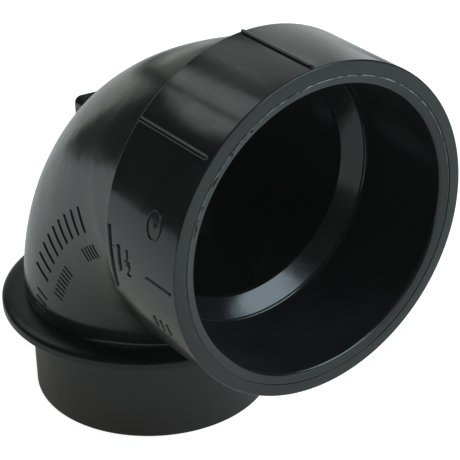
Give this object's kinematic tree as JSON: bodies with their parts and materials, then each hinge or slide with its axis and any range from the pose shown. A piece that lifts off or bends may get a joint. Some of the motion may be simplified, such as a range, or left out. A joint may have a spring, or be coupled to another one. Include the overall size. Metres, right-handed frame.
{
  "type": "drain pipe elbow",
  "caption": "Quarter-turn drain elbow in black plastic: a pipe socket at one end, and a plain spigot under a thin stop collar at the other, with a small lug on the heel.",
  "frame": {"origin": "on the floor the elbow stands on, under the middle of its bounding box; the hub's axis and the spigot's axis cross at (0, 0.012175, 0.054)", "axes": "-Y out of the hub's mouth, -Z out of the spigot's end, X across, with the plane X = 0 as the plane of symmetry"},
  "size_m": [0.0594, 0.0836, 0.083],
  "materials": {
    "hub_plastic": "black moulded ABS, semi-gloss outside, smooth socket wall",
    "seat_plastic": "black moulded ABS, polished 45 degree shoulder",
    "bend_plastic": "black moulded ABS, semi-gloss with a faint orange-peel",
    "collar_plastic": "black moulded ABS, semi-gloss, thin rounded edge",
    "spigot_plastic": "black moulded ABS, fine matte texture"
  },
  "bodies": {
    "root": {"hub_socket": "hub_plastic", "seat_ring": "seat_plastic", "bend_body": "bend_plastic", "stop_collar": "collar_plastic", "spigot_tube": "spigot_plastic"}
  },
  "joints": []
}
